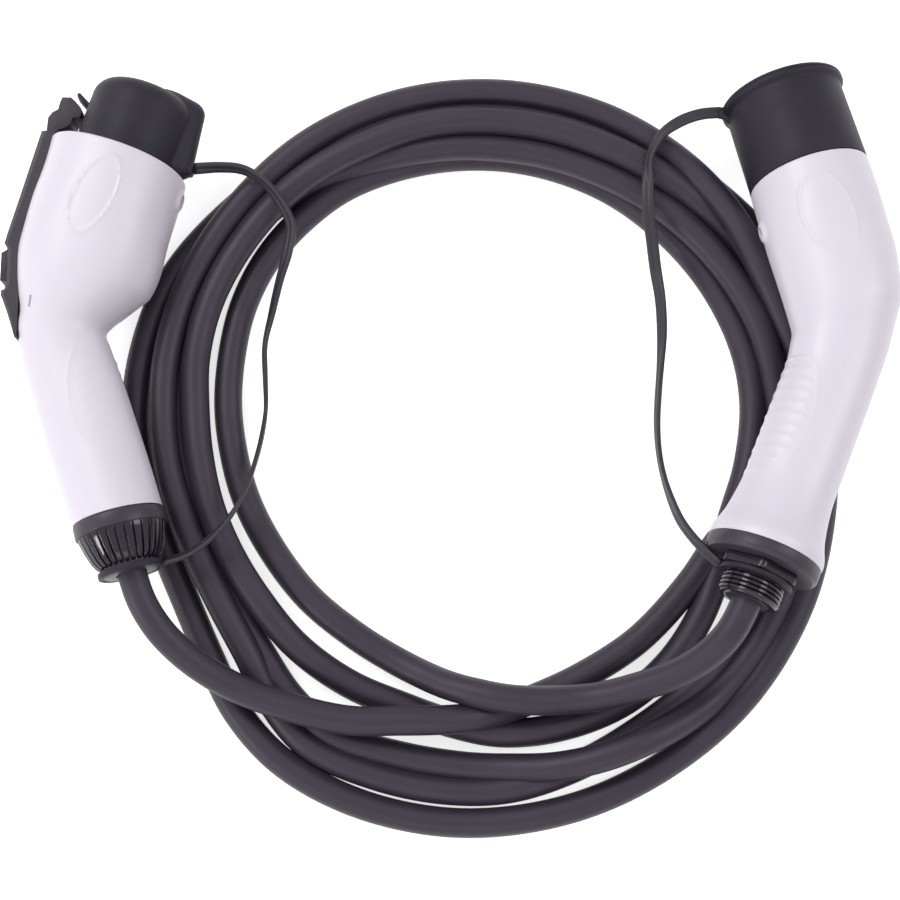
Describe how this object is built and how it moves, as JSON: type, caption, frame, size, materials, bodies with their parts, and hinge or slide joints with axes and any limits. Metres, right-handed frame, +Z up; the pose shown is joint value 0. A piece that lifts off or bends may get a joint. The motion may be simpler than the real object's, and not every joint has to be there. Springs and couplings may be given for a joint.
{
  "type": "ev charging adapter cable",
  "caption": "Charging cable with two white pistol-grip connectors, black rubber caps on straps and a thick dark cable lying in a flat coil",
  "frame": {"origin": "on the surface that the cable lies on, below the middle of the box round the two connectors, their caps, glands and latch", "axes": "+X from the Type 1 connector towards the Type 2 connector, +Y the way both capped mouths point, +Z up"},
  "size_m": [0.4121, 0.3488, 0.0765],
  "materials": {
    "white_shell": "satin moulded thermoplastic",
    "black_plastic": "fine-grained moulded black plastic",
    "black_gloss": "polished black nylon",
    "cap_rubber": "soft satin rubber",
    "cable_rubber": "satin sheath",
    "steel": "plain steel",
    "contact_metal": "silver-plated contact",
    "core_brown": "smooth core insulation",
    "core_blue": "smooth core insulation",
    "core_green": "smooth core insulation",
    "core_grey": "smooth core insulation"
  },
  "bodies": {
    "cable_set": {"type1_shell": "white_shell", "type1_insert": "black_plastic", "type1_power_contacts": "contact_metal", "type1_earth_contact": "contact_metal", "type1_signal_contacts": "contact_metal", "latch_cover": "black_plastic", "latch_pin": "steel", "latch_spring": "steel", "type1_screw": "steel", "type1_gland_body": "black_gloss", "type1_seal": "cap_rubber", "dome_nut": "black_gloss", "type1_tether_ring": "cap_rubber", "type1_cap": "cap_rubber", "type1_strap": "cap_rubber", "type2_shell": "white_shell", "type2_insert": "black_plastic", "type2_power_pins": "contact_metal", "type2_earth_pin": "contact_metal", "type2_signal_pins": "contact_metal", "type2_screw": "steel", "type2_collar": "black_gloss", "type2_gland_body": "black_gloss", "type2_seal": "cap_rubber", "type2_tether_ring": "cap_rubber", "type2_cap": "cap_rubber", "type2_strap": "cap_rubber", "cable_coil": "cable_rubber", "cable_lead_type1": "cable_rubber", "cable_lead_type2": "cable_rubber", "type1_live_core": "core_brown", "type1_neutral_core": "core_blue", "type1_earth_core": "core_green", "type1_pilot_core": "core_grey", "type2_live_core": "core_brown", "type2_neutral_core": "core_blue", "type2_earth_core": "core_green", "type2_pilot_core": "core_grey"},
    "latch": {"latch_lever": "black_plastic"}
  },
  "joints": [
    {"name": "latch_press", "type": "hinge", "parent": "cable_set", "child": "latch", "pos_m": [-0.1887, 0.07257, 0.03198], "axis": [0.0052, 0.0167, 0.9998], "range_deg": [0, 4], "stiffness_Nm_per_rad": 2, "springref_deg": -1.72, "deforming": ["latch_spring"]}
  ]
}
